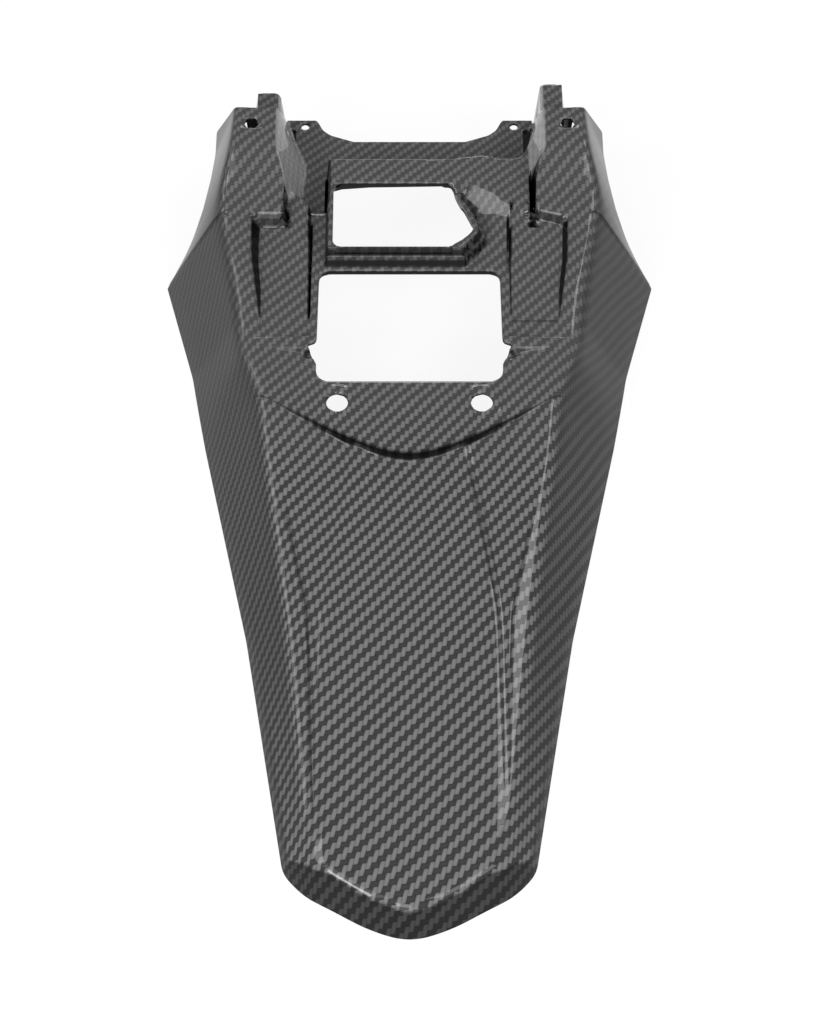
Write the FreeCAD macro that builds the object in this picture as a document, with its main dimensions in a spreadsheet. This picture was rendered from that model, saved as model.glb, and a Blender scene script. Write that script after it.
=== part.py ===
"""A motorcycle rear fender: one moulded skin of even wall thickness.

+X right, +Y towards the front of the motorcycle, +Z up, millimetres.  The fender rests on
its side lips and its tail on z = 0.  Lengths along Y in the sheet are counted from the line
of the two lower mounting holes, and hole_line puts that line in the part's own frame.
"""
import FreeCAD
import Part
import math
import os
from FreeCAD import Vector

NODE = "rear_fender"

SIZES = [
    # overall levels and the moulded wall
    ("wall", 2.2, "thickness of the moulded skin"),
    ("hole_line", 36.0, "Y of the lower hole line in the part frame"),
    ("plate_z", 50.0, "level of the flat plate"),
    ("platform_rise", 11.0, "raised platform over the plate"),
    ("channel_drop", 4.0, "front cross bar and channel under the plate"),
    ("upright_z", 80.0, "level of the two top pads"),
    # turned lip along the sides
    ("lip_height", 5.0, "height of the turned side lip"),
    ("lip_flare", 2.6, "how far the lip flares out"),
    # half widths of the outline on the floor
    ("corner_half", 125.2, "half width at the widest corner"),
    ("panel_end_half", 109.4, "half width of the outline at the side panels' rear end"),
    ("plate_half", 101.0, "half width of the outline at the step ends"),
    ("waist_half", 77.0, "half width of the outline at the middle of the tail"),
    ("tail_half", 58.0, "half width of the outline where the nose begins"),
    # half widths of the crease between top and flank
    ("corner_crease", 93.6, "half width of the crease at the widest corner"),
    ("panel_end_crease", 86.9, "half width of the crease at the side panels' rear end"),
    ("plate_crease", 71.0, "half width of the crease at the step ends"),
    ("apex_crease", 68.0, "half width of the crease beside the step's apex"),
    ("waist_crease", 57.0, "half width of the crease at the middle of the tail"),
    ("tail_crease", 44.5, "half width of the crease where the nose begins"),
    # stations along Y from the hole line
    ("corner_y", 105.0, "station of the widest corner"),
    ("flat_front_y", 113.0, "front end of the flat plate"),
    ("step_y", 5.0, "ends of the V step"),
    ("step_apex_y", -27.9, "apex of the V step"),
    ("step_round", 22.0, "roundness of the V step at its apex"),
    ("waist_y", -103.0, "station at the middle of the tail"),
    ("nose_y", -214.0, "station where the nose begins"),
    ("tip_y", -252.0, "tip of the tail on the floor"),
    # heights of the tail
    ("shoulder_z", 41.5, "shoulder level just behind the V step"),
    ("waist_z", 31.0, "shoulder level at the middle of the tail"),
    ("tail_z", 16.0, "shoulder level where the nose begins"),
    ("panel_rise", 2.0, "raised centre panel over the shoulders"),
    ("panel_front_half", 27.0, "half width of the centre panel at the V step"),
    ("panel_waist_half", 40.0, "half width of the centre panel at the middle"),
    ("panel_tail_half", 41.0, "half width of the centre panel at the nose"),
    ("panel_slope", 3.0, "width of the sloped side of the centre panel"),
    ("apex_band", 4.0, "width of the sloped band inside the crease at the step"),
    ("waist_band", 9.5, "width of that band at the middle of the tail"),
    ("tail_band", 1.5, "width of that band where the nose begins"),
    ("band_grade", 0.35, "fall of that band over its width"),
    # nose of the tail
    ("nose_corner_half", 46.0, "half width of the outline at the nose corner"),
    ("nose_corner_y", -232.5, "station of the nose corner"),
    ("nose_tip_half", 8.0, "half width of the blunt tip"),
    ("nose_lean", 10.5, "how far the nose band leans back over nose_lean_z"),
    ("nose_lean_z", 15.0, "height over which the nose band leans"),
    # side rails and uprights
    ("rail_end_y", 47.0, "rear end of the side panels"),
    ("rail_wall_y", 100.0, "station where the rail wall is highest"),
    ("scoop_y", 118.0, "station where the rail becomes the upright"),
    ("upright_foot_y", 134.0, "station where the top pad begins"),
    ("upright_front_y", 157.0, "front end of the uprights"),
    ("rail_rise", 9.0, "rail over the plate at rail_wall_y"),
    ("scoop_rise", 15.0, "rail over the plate at scoop_y"),
    ("rail_inner", 72.4, "half distance of the rail's inner edge at its rear end"),
    ("rail_inner_front", 79.0, "half distance of that edge at rail_wall_y"),
    ("upright_inner", 66.0, "half distance of the uprights' inner edge"),
    ("rail_wall_lean", 3.5, "how far the rail's inner wall leans"),
    ("upright_wall_lean", 7.0, "how far the upright's inner wall leans"),
    ("upright_outer", 87.0, "half distance of the uprights' outer edge"),
    ("front_skirt", 118.0, "half width of the front's outer wall, carried to the floor"),
    ("upright_skirt", 112.0, "half width of the uprights' outer wall, carried to the floor"),
    ("front_rake", 0.4, "forward lean of the uprights' front end, over its drop"),
    # side wall's lower edge, seen from the side
    ("edge_corner_z", 9.0, "lower edge just in front of the corner"),
    ("edge_middle_y", 127.0, "station of the lower edge's middle point"),
    ("edge_middle_z", 37.0, "height of the lower edge's middle point"),
    ("edge_front_y", 140.0, "station of the lower edge's front point"),
    ("edge_front_z", 43.5, "height of the lower edge's front point"),
    # side panels beside the windows
    ("side_panel_inner", 49.3, "half distance of the step between plate and side panel"),
    ("side_panel_rise", 7.0, "side panel over the plate at its front end"),
    ("side_panel_step", 0.6, "side panel over the plate at its rear end"),
    ("side_panel_front", 126.0, "front edge of the left side panel at the upright"),
    # raised platform
    ("platform_left", -41.6, "left edge of the platform"),
    ("platform_rear_y", 83.0, "rear wall of the platform"),
    ("platform_front_y", 140.7, "front edge of the platform"),
    ("platform_right", 35.6, "right wall of the collar"),
    ("facet_y", 112.3, "rear edge of the platform's right part"),
    ("facet_ridge_x", 36.4, "distance right of the facet's upper corner"),
    ("facet_ridge_y", 126.0, "station of the facet's upper corner"),
    # cross bar and tabs at the front
    ("bar_front_y", 163.0, "front edge of the cross bar"),
    ("tab_front_y", 177.2, "front edge of the tabs"),
    ("tab_half", 47.5, "half distance of the tabs' inner edge"),
    ("bar_half", 65.0, "half width of the cross bar"),
    ("tab_hole_half", 53.6, "half distance of the tab holes"),
    ("tab_hole_y", 173.8, "station of the tab holes"),
    ("tab_hole_d", 4.2, "diameter of the tab holes"),
    # stub lugs in front of the uprights
    ("lug_front_y", 180.0, "front end of the lugs"),
    ("lug_inner", 63.5, "half distance of the lugs' inner side"),
    ("lug_outer", 80.5, "half distance of the lugs' outer side"),
    ("lug_round", 4.0, "bevelled front corners of the lugs"),
    ("left_lug_z", 64.0, "top of the left lug"),
    ("right_lug_z", 71.0, "top of the right lug"),
    # windows
    ("upper_left", -37.8, "left side of the upper window"),
    ("upper_right", 20.0, "right end of the upper window's front side"),
    ("upper_bulge", 32.4, "furthest right of the upper window"),
    ("upper_rear_y", 85.2, "rear side of the upper window"),
    ("upper_front_y", 124.5, "front side of the upper window"),
    ("upper_corner_r", 4.0, "corner radius of the upper window"),
    ("lower_half", 45.0, "half width of the lower window"),
    ("lower_rear_y", 12.6, "rear side of the lower window"),
    ("lower_front_y", 78.3, "front side of the lower window"),
    ("lower_corner_r", 5.5, "front corner radius of the lower window"),
    ("lower_rear_r", 8.0, "rear corner radius of the lower window"),
    ("notch_depth", 4.4, "side notches of the lower window"),
    ("notch_front_y", 33.0, "front end of the notches"),
    ("notch_rear_y", 22.7, "rear end of the notches"),
    # beads that run out from the notches
    ("bead_rise", 2.4, "height of the beads"),
    ("bead_width", 11.0, "width of the beads at the window"),
    ("bead_tip", 75.0, "half distance of the beads' tips"),
    # mounting holes
    ("lower_hole_half", 34.5, "half distance of the lower holes"),
    ("lower_hole_d", 10.4, "diameter of the lower holes"),
    ("pad_d", 19.0, "diameter of the seats round the lower holes"),
    ("pad_rise", 0.4, "rise of those seats"),
    ("top_hole_half", 78.5, "half distance of the top holes"),
    ("top_hole_y", 147.5, "station of the top holes"),
    ("top_hole_d", 7.0, "diameter of the top holes"),
]

doc = FreeCAD.newDocument("fender")
sheet = doc.addObject("Spreadsheet::Sheet", "sizes")
for row, (alias, value, note) in enumerate(SIZES, start=1):
    sheet.set("A%d" % row, str(value))
    sheet.setAlias("A%d" % row, alias)
    sheet.set("B%d" % row, note)
doc.recompute()


def size(alias):
    """The value of one named size, read from the sheet."""
    return float(getattr(sheet, alias))


FLOOR_CUT = 8.0
SIDES = (-1.0, 1.0)


def section(points, y):
    """A closed wire of (x, z) points at station y, counted from the hole line."""
    place = y + size("hole_line")
    corners = [Vector(x, place, z) for x, z in points]
    return Part.makePolygon(corners + [corners[0]])


def loft(stations):
    """A ruled solid through sections; stations is a list of (y, points)."""
    ordered = sorted(stations, key=lambda item: item[0])
    return Part.makeLoft([section(points, y) for y, points in ordered], True, True)


def prism(points, low, high):
    """A solid over a plan polygon of (x, y) points between two heights."""
    line = size("hole_line")
    corners = [Vector(x, y + line, low) for x, y in points]
    face = Part.Face(Part.makePolygon(corners + [corners[0]]))
    return face.extrude(Vector(0, 0, high - low))


def half_section(half, crease, top, inset):
    """Points of one side of a cross-section, from the floor up to the crease.

    The inset version lies inside by the wall: straight in at the lip, and along the
    bisector of flank and top at the crease.
    """
    lip_z = size("lip_height")
    lip_x = half - size("lip_flare")
    lean = math.atan2(top - lip_z, lip_x - crease)
    lip_in = inset / math.sin(lean)
    crease_in = inset * math.tan(lean / 2)
    lip_lean = math.atan2(lip_z, size("lip_flare"))
    foot = half + FLOOR_CUT / math.tan(lip_lean) - inset / math.sin(lip_lean)
    return [(foot, -FLOOR_CUT), (lip_x - lip_in, lip_z), (crease - crease_in, top - inset)]


def full_section(half, crease, top, band, grade, inset):
    """A whole cross-section, symmetrical about x = 0, with a sloped band inside the crease."""
    right = half_section(half, crease, top - band * grade, inset)
    right.append((crease - band, top - inset))
    left = [(-x, z) for x, z in reversed(right)]
    return right + left


def between(a, b, share):
    """The value that lies at a share of the way from a to b."""
    return a + (b - a) * share


def tail_stations():
    """Stations of the skin from the flat plate's front end back past the tip.

    Each holds y, half width on the floor, half width of the crease, top level, width of the
    sloped band and its grade.
    """
    plate = size("plate_z")
    step = size("step_y")
    apex = size("step_apex_y")
    waist = size("waist_y")
    nose = size("nose_y")
    flat = (size("apex_band"), 0.0)
    grade = size("band_grade")
    corner = (size("corner_half"), size("corner_crease"), plate) + flat
    panel_end = (size("panel_end_half"), size("panel_end_crease"), plate) + flat
    at_step = (size("plate_half"), size("plate_crease"), plate) + flat
    apex_half = between(size("plate_half"), size("waist_half"), (step - apex) / (step - waist))
    at_apex = (apex_half, size("apex_crease"), size("shoulder_z"), size("apex_band"), grade)
    at_waist = (size("waist_half"), size("waist_crease"), size("waist_z"), size("waist_band"), grade)
    at_nose = (size("tail_half"), size("tail_crease"), size("tail_z"), size("tail_band"), grade)
    past = size("tip_y") - FLOOR_CUT
    past_share = (past - waist) / (nose - waist)
    at_past = [between(a, b, past_share) for a, b in zip(at_waist[:3], at_nose[:3])]
    at_past += [size("tail_band"), grade]
    return [
        (size("flat_front_y"), corner),
        (size("corner_y"), corner),
        (size("rail_end_y"), panel_end),
        (step, at_step),
        (apex, at_apex),
        (waist, at_waist),
        (nose, at_nose),
        (past, at_past),
    ]


def main_body(inset):
    """The plate, flanks and tail as one filled body, without the raised forms."""
    stations = [(y, full_section(*dims, inset)) for y, dims in tail_stations()]
    return loft(stations)


def tail_panel(inset):
    """The raised centre panel of the tail."""
    rise = size("panel_rise")
    slope = size("panel_slope")
    apex_y = size("step_apex_y")
    waist_y = size("waist_y")
    nose_y = size("nose_y")
    under_y = size("step_y")
    past_y = size("tip_y") - FLOOR_CUT
    past_share = (past_y - waist_y) / (nose_y - waist_y)
    under_share = (under_y - waist_y) / (apex_y - waist_y)
    front = (size("panel_front_half"), size("shoulder_z"))
    middle = (size("panel_waist_half"), size("waist_z"))
    rear = (size("panel_tail_half"), size("tail_z"))
    under = [between(a, b, under_share) for a, b in zip(middle, front)]
    past = [between(a, b, past_share) for a, b in zip(middle, rear)]
    rows = [(under_y, under), (apex_y, front), (waist_y, middle), (nose_y, rear), (past_y, past)]
    depth = 2 * rise
    stations = []
    for y, (half, base) in rows:
        top = base + rise - inset
        near = half - inset * 0.6
        wide = near + slope * (depth / rise)
        stations.append((y, [(-wide, top - depth), (-near, top), (near, top), (wide, top - depth)]))
    return loft(stations)


def step_outline(half, inset):
    """Points of the V step's edge from right to left: a hyperbola round its apex."""
    apex = size("step_apex_y")
    bend = size("step_round")
    grade = (size("step_y") - apex) / (math.hypot(half, bend) - bend)
    count = 8
    points = []
    for index in range(count, -count - 1, -1):
        x = half * index / count
        points.append((x, apex + grade * (math.hypot(x, bend) - bend) + inset))
    return points


def step_plate(inset):
    """The rear end of the flat plate, which ends in the V step above the tail."""
    half = size("plate_crease") - 0.3 - inset
    front = size("step_y") + 12.0
    outline = [(-half, front), (half, front)] + step_outline(half, inset)
    return prism(outline, -FLOOR_CUT, size("plate_z") - inset)


def rail(side, inset):
    """One side rail with its upright, from the rear end of the side panel to the front."""
    plate = size("plate_z")
    channel = plate - size("channel_drop")
    skirt = size("front_skirt") + size("lip_flare")
    crease = size("corner_crease")
    inner = size("upright_inner")
    lean = size("upright_wall_lean")
    reach = size("front_rake") * (size("upright_z") - channel) + FLOOR_CUT
    front = size("upright_front_y") + reach
    rows = [
        # station, inner top edge, lean of the inner wall, outer top edge, top, skirt
        (size("rail_end_y"), size("rail_inner"), 0.8, size("panel_end_crease"), plate + 0.4,
         size("panel_end_half")),
        (size("rail_wall_y"), size("rail_inner_front"), size("rail_wall_lean"),
         crease, plate + size("rail_rise"), size("corner_half") - 1.2),
        (size("corner_y"), size("rail_inner_front"), size("rail_wall_lean"),
         crease, plate + size("rail_rise") + 1.5, skirt),
        (size("scoop_y"), inner - 1.0, lean, crease, plate + size("scoop_rise"), skirt),
        (size("upright_foot_y"), inner, lean, size("upright_outer") + 1.5, size("upright_z"),
         between(size("front_skirt"), size("upright_skirt"), 0.4) + size("lip_flare")),
        (front, inner, lean, size("upright_outer"), size("upright_z"),
         size("upright_skirt") + size("lip_flare")),
    ]
    stations = []
    for y, edge, wall_lean, outer, top, half in rows:
        right = half_section(half, outer, top, inset)
        slope = wall_lean / (top - channel)
        foot = edge - wall_lean - (channel + FLOOR_CUT) * slope + inset
        points = right + [(edge + inset * 0.7, top - inset), (foot, -FLOOR_CUT)]
        stations.append((y, [(side * x, z) for x, z in points]))
    solid = loft(stations)
    if inset:
        return solid
    # the front end leans forward towards its foot
    line = size("hole_line")
    head = size("upright_z") + FLOOR_CUT
    run = size("front_rake") * (head + FLOOR_CUT)
    start = size("upright_front_y") + line - size("front_rake") * FLOOR_CUT
    wide = size("corner_half") + FLOOR_CUT
    corners = [Vector(-wide, start, head), Vector(-wide, start + run, -FLOOR_CUT),
               Vector(-wide, start + 2 * run + reach, -FLOOR_CUT), Vector(-wide, start + 2 * run + reach, head)]
    wedge = Part.Face(Part.makePolygon(corners + [corners[0]])).extrude(Vector(2 * wide, 0, 0))
    return solid.cut(wedge)


def side_panel(side, inset):
    """The ramped panel between the window plate and the rail."""
    plate = size("plate_z")
    inner = size("side_panel_inner") + inset
    outer = size("rail_inner_front")
    front = size("side_panel_front")
    low = plate + size("side_panel_step") - inset
    rise = size("side_panel_rise") if side < 0 else size("platform_rise")
    length = front - size("rail_end_y")
    high = plate + rise - inset
    narrow = size("upright_inner") - 2.0

    def level(y):
        return between(low, high, (y - size("rail_end_y")) / length)

    rows = [
        (size("rail_end_y") - 0.5 + inset, size("rail_inner"), low),
        (size("rail_wall_y"), outer, level(size("rail_wall_y"))),
        (size("scoop_y"), narrow, level(size("scoop_y"))),
        (front - (inset if side < 0 else 0.0), narrow, high),
    ]
    stations = []
    for y, wide, top in rows:
        points = [(inner, -FLOOR_CUT), (inner, top), (wide, top), (wide, -FLOOR_CUT)]
        stations.append((y, [(side * x, z) for x, z in points]))
    solid = loft(stations)
    if side < 0:
        # the left panel's front edge runs back towards the window
        length = size("side_panel_front") - size("scoop_y")
        reach = size("upright_inner") - size("side_panel_inner")
        cutter = prism([
            (-inner - reach * 0.65, size("side_panel_front") - inset),
            (-inner + 5.0, size("scoop_y") - inset - length * 0.5),
            (-inner + 5.0, size("side_panel_front") + 5.0),
            (-inner - reach * 0.65, size("side_panel_front") + 5.0),
        ], -2 * FLOOR_CUT, size("upright_z"))
        solid = solid.cut(cutter)
    return solid


def platform(inset):
    """The raised platform round the upper window, with its collar and slanted facet."""
    line = size("hole_line")
    plate = size("plate_z")
    top = plate + size("platform_rise") - inset
    left = size("platform_left") + inset
    rear = size("platform_rear_y") + inset
    front = size("platform_front_y") - inset
    wall = size("platform_right") - inset
    right = size("upright_inner") - 5.0
    inner = size("side_panel_inner") + inset
    # the facet's upper edge runs from the ridge point to the side panel
    ridge = (size("facet_ridge_x"), size("facet_ridge_y"))
    heel = (size("side_panel_inner"), size("facet_y") - 0.5)
    foot = size("facet_y")
    collar = (wall - 4.5, foot + 8.0)
    neck = (wall - 7.5, ridge[1] - 2.0)
    outline = [
        (left, rear), (size("platform_right") - 9.0, rear), (wall, rear + 11.0), (wall, rear + 20.0),
        collar, neck, ridge, heel, (inner, foot), (inner, size("side_panel_front") - 1.0),
        (right, size("side_panel_front") - 1.0), (right, front), (left, front),
    ]
    solid = prism(outline, -FLOOR_CUT, top)
    # the facet falls from that edge to the plate
    run_x = heel[0] - ridge[0]
    run_y = heel[1] - ridge[1]
    length = math.hypot(run_x, run_y)
    across = Vector(run_y / length, -run_x / length, 0)
    depth = abs((wall - ridge[0]) * across.x + (foot - ridge[1]) * across.y)
    grade = size("platform_rise") / depth
    start = Vector(ridge[0], ridge[1] + line, top) + Vector(-run_x, -run_y, 0)
    far = across * (depth + size("wall") * 2)
    fall = Vector(0, 0, -grade * (depth + size("wall") * 2))
    rise = Vector(0, 0, size("platform_rise"))
    corners = [start, start + far + fall, start + far + rise, start + rise]
    wedge = Part.Face(Part.makePolygon(corners + [corners[0]])).extrude(Vector(3 * run_x, 3 * run_y, 0))
    base = [collar, neck, ridge, heel, (heel[0], foot - 0.6), (wall, foot - 0.6)]
    facet = prism(base, -FLOOR_CUT, top).cut(wedge)
    return solid.fuse(facet)


def cross_bar(inset):
    """The low channel and cross bar at the front, with its two tabs."""
    front = size("bar_front_y")
    tab = size("tab_front_y")
    inner = size("tab_half")
    half = size("bar_half")
    out = 15.0 if inset else 0.0
    right = [
        (half, size("flat_front_y") - 4.0), (half, tab + out), (inner, tab + out),
        (inner - 3.0, tab - 6.5 + out), (inner - 7.0, between(front, tab, 0.3) + out),
        (inner - 19.0, front + out),
    ]
    left = [(-x, y) for x, y in reversed(right)]
    return prism(right + left, -FLOOR_CUT, size("plate_z") - size("channel_drop") - inset)


def bead(side, inset):
    """A bead that runs out from a window notch and dies away at its tip."""
    plate = size("plate_z")
    line = size("hole_line")
    middle = between(size("notch_front_y"), size("notch_rear_y"), 0.35)
    wide = size("bead_width") / 2
    rise = size("bead_rise")
    near = size("lower_half") - 2.0
    tip = size("bead_tip")
    rings = []
    for x, half, height in ((near, wide, rise), (tip, 0.6, 0.1)):
        ring = [Vector(side * x, middle + line - half, plate - 4.0 - inset),
                Vector(side * x, middle + line - half, plate - inset),
                Vector(side * x, middle + line + half * 0.5, plate + height - inset),
                Vector(side * x, middle + line + half, plate - inset),
                Vector(side * x, middle + line + half, plate - 4.0 - inset)]
        rings.append(Part.makePolygon(ring + [ring[0]]))
    return Part.makeLoft(rings, True, True)


def lug(side):
    """The hooded lug that stands out in front of one upright, open below and in front."""
    shells = []
    low = size("plate_z") - size("channel_drop") - size("wall")
    back = size("top_hole_y") + size("top_hole_d") / 2 + 1.5
    for inset in (0.0, size("wall")):
        top = (size("left_lug_z") if side < 0 else size("right_lug_z")) - inset
        front = size("lug_front_y") + (FLOOR_CUT if inset else 0.0)
        corner = size("lug_round")
        near = size("lug_inner") + inset
        far = size("lug_outer") - inset
        start = back - (1.0 if inset else 0.0)
        outline = [(near, start), (far, start), (far, front - corner), (far - corner, front),
                   (near + corner, front), (near, front - corner)]
        bottom = low - (1.0 if inset else 0.0)
        shells.append(prism([(side * x, y) for x, y in outline], bottom, top))
    return shells[0].cut(shells[1])


def hole_pad(side, inset):
    """The faintly raised round seat of one lower hole."""
    centre = Vector(side * size("lower_hole_half"), size("hole_line"), size("plate_z") - inset - 2.0)
    return Part.makeCylinder(size("pad_d") / 2, 2.0 + size("pad_rise"), centre)


def nose_envelope(inset):
    """Everything in front of the nose band: two planes that meet at the blunt tip."""
    lean = size("nose_lean") / size("nose_lean_z")
    top_z = size("upright_z") + 20.0
    slant = math.atan2(size("nose_lean_z"), size("nose_lean"))
    shift = inset / math.sin(slant)
    half_tail = size("tail_half") + 0.6
    nose_tip = size("tip_y")
    corner = size("nose_corner_half")
    corner_y = size("nose_corner_y")
    blunt = size("nose_tip_half")
    front = size("lug_front_y") + 60.0
    wide = size("corner_half") + 60.0
    reach = (wide - corner) / (half_tail - corner)
    far_y = corner_y + (size("nose_y") - 4.0 - corner_y) * reach
    rings = []
    for z in (-2 * FLOOR_CUT, top_z):
        back = lean * z + shift
        right = [(wide, front), (wide, far_y + back), (corner, corner_y + back),
                 (blunt, nose_tip + 3.6 + back), (blunt * 0.4, nose_tip + back)]
        ring = right + [(-x, y) for x, y in reversed(right)]
        corners = [Vector(x, y + size("hole_line"), z) for x, y in ring]
        rings.append(Part.makePolygon(corners + [corners[0]]))
    return Part.makeLoft(rings, True, True)


def filled(inset):
    """The whole fender as a filled body; the inset one is smaller by the wall."""
    forms = [main_body(inset), tail_panel(inset), step_plate(inset), platform(inset), cross_bar(inset)]
    for side in SIDES:
        forms.append(rail(side, inset))
        forms.append(side_panel(side, inset))
        forms.append(bead(side, inset))
        forms.append(hole_pad(side, inset))
    body = forms[0].fuse(forms[1:])
    return body.common(nose_envelope(inset))


def side_edge_cutter():
    """What lies under the side wall's rising lower edge, and under the floor."""
    line = size("hole_line")
    wide = size("corner_half") + 30.0
    front = size("lug_front_y") + 40.0
    low = -3 * FLOOR_CUT
    rear = size("tip_y") - 40.0
    profile = [
        (rear, low), (rear, 0.0), (size("corner_y"), 0.0),
        (size("corner_y") + 0.5, size("edge_corner_z")),
        (size("edge_middle_y"), size("edge_middle_z")),
        (size("edge_front_y"), size("edge_front_z")),
        (front, size("edge_front_z")), (front, low),
    ]
    corners = [Vector(-wide, y + line, z) for y, z in profile]
    face = Part.Face(Part.makePolygon(corners + [corners[0]]))
    return face.extrude(Vector(2 * wide, 0, 0))


def rounded(solid, corners):
    """The solid with its upright edges rounded where a corner names a radius."""
    for x, y, radius in corners:
        spot = Vector(x, y + size("hole_line"), 0)
        edges = []
        for edge in solid.Edges:
            ends = [vertex.Point for vertex in edge.Vertexes]
            upright = len(ends) == 2 and abs(ends[0].x - ends[1].x) < 1e-6 and abs(ends[0].y - ends[1].y) < 1e-6
            if upright and math.hypot(ends[0].x - spot.x, ends[0].y - spot.y) < 0.01:
                edges.append(edge)
        solid = solid.makeFillet(radius, edges)
    return solid


def upper_window():
    """The opening in the platform, with its bulged right side."""
    left = size("upper_left")
    rear = size("upper_rear_y")
    front = size("upper_front_y")
    right = size("upper_right")
    bulge = size("upper_bulge")
    small = size("upper_corner_r")
    corners = [
        (left, rear, small), (right, rear, small), (bulge - 6.0, rear + 4.5, small * 1.4),
        (bulge, rear + 11.0, small * 1.4), (right + 4.0, front - 3.5, small), (right, front, small * 0.6),
        (left, front, small),
    ]
    outline = [(x, y) for x, y, radius in corners]
    solid = prism(outline, size("plate_z") - 3 * size("wall"), size("upright_z") + FLOOR_CUT)
    return rounded(solid, corners)


def lower_window():
    """The opening in the plate, with a notch in each side."""
    half = size("lower_half")
    deep = half + size("notch_depth")
    rear = size("lower_rear_y")
    front = size("lower_front_y")
    notch_front = size("notch_front_y")
    notch_rear = size("notch_rear_y")
    right = [
        (half, rear, size("lower_rear_r")),
        (half, notch_rear, 0.0),
        (half + size("notch_depth") * 0.45, between(notch_rear, notch_front, 0.45), 0.0),
        (deep, between(notch_rear, notch_front, 0.86), 0.0),
        (half + size("notch_depth") * 0.2, notch_front, 0.0),
        (half, notch_front + 1.5, 0.0),
        (half - 0.6, front, size("lower_corner_r")),
    ]
    left = [(-x, y, radius) for x, y, radius in reversed(right)]
    corners = right + left
    outline = [(x, y) for x, y, radius in corners]
    solid = prism(outline, -FLOOR_CUT, size("upright_z"))
    return rounded(solid, [corner for corner in corners if corner[2] > 0.0])


def add_hole(name, side, half, station, diameter):
    """A drill for one mounting hole, bound to the sheet."""
    drill = doc.addObject("Part::Cylinder", name)
    drill.setExpression("Radius", "sizes.%s / 2" % diameter)
    drill.Height = 200.0
    drill.setExpression("Placement.Base.x", "%d * sizes.%s" % (side, half))
    line = "sizes.hole_line" if station is None else "sizes.hole_line + sizes.%s" % station
    drill.setExpression("Placement.Base.y", line)
    drill.Placement.Base.z = -FLOOR_CUT
    return drill


skin = doc.addObject("Part::Feature", "skin")
skin.Label = "moulded_skin"
hollow = filled(0.0).cut(filled(size("wall"))).cut(side_edge_cutter())
skin.Shape = hollow.fuse([lug(side) for side in SIDES])

windows = doc.addObject("Part::Feature", "windows")
windows.Shape = upper_window().fuse(lower_window())

drills = []
for side, word in ((-1, "left"), (1, "right")):
    drills.append(add_hole("lower_hole_" + word, side, "lower_hole_half", None, "lower_hole_d"))
    drills.append(add_hole("top_hole_" + word, side, "top_hole_half", "top_hole_y", "top_hole_d"))
    drills.append(add_hole("tab_hole_" + word, side, "tab_hole_half", "tab_hole_y", "tab_hole_d"))

cutters = doc.addObject("Part::MultiFuse", "openings")
cutters.Shapes = [windows] + drills
fender = doc.addObject("Part::Cut", "fender")
fender.Base = skin
fender.Tool = cutters
fender.Label = NODE
doc.recompute()

for item in doc.Objects:
    if "Invalid" in item.State or "Error" in item.State:
        raise RuntimeError("%s did not build: %s" % (item.Name, item.State))
shape = fender.Shape
if shape.isNull() or not shape.isValid() or len(shape.Solids) != 1:
    raise RuntimeError("the fender is not one valid solid: %d" % len(shape.Solids))
box = shape.optimalBoundingBox()
print("volume", round(shape.Volume), "area", round(shape.Area), "faces", len(shape.Faces), "box", box)

os.makedirs("parts", exist_ok=True)
shape.exportStep("parts/%s.step" % NODE)
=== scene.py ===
"""The dressed motorcycle rear fender: one moulded skin of twill cloth under a clear coat.

The skin is two height fields over one bent grid, the outer face and the inner face, joined
along every edge.  Heights and places are in millimetres, and places along Y are counted from
the line of the two lower mounting holes; both become metres in the frame at the end.  A form's
inset is 0 on the outer face and the wall's thickness on the inner face.  The last number that
soft_min and soft_max take is the width of their rounding.
"""
import math

import bpy
import numpy as np
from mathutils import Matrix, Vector


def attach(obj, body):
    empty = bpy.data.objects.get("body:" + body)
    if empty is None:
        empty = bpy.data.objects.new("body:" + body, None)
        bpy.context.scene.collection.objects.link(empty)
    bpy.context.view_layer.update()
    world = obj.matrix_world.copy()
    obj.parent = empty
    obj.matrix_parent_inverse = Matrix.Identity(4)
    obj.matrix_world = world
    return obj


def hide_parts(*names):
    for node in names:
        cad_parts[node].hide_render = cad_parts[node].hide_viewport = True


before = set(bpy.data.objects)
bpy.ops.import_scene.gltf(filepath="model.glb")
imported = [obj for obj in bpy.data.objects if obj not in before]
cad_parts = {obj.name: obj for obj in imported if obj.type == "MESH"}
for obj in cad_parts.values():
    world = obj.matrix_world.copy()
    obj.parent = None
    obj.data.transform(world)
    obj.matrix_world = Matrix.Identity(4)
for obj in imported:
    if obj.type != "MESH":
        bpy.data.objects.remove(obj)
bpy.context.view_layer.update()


def table(*pairs):
    """Stations and values as two rows, from pairs of both."""
    return tuple(zip(*pairs))


# units, place in the frame and the moulded wall
MM = 0.001
HOLE_LINE = 36.0
WALL = 2.2
WALL_SLOPE = 6.0

# levels
PLATE = 50.0
CHANNEL = 46.0
PLATFORM = 61.0
LEDGE = 55.2
PAD_TOP = 80.0

# stations along Y, from the tail's tip to the front
TIP_Y = -252.0
NOSE_Y = -214.0
WAIST_Y = -103.0
STEP_APEX_Y = -27.9
STEP_END_Y = 5.0
PANEL_REAR_Y = 46.6
CORNER_Y = 105.0
CHANNEL_REAR_Y = 108.0
PLATE_FRONT_Y = 115.2
PAD_FRONT_Y = 157.0
LUG_FRONT_Y = 180.0

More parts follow.
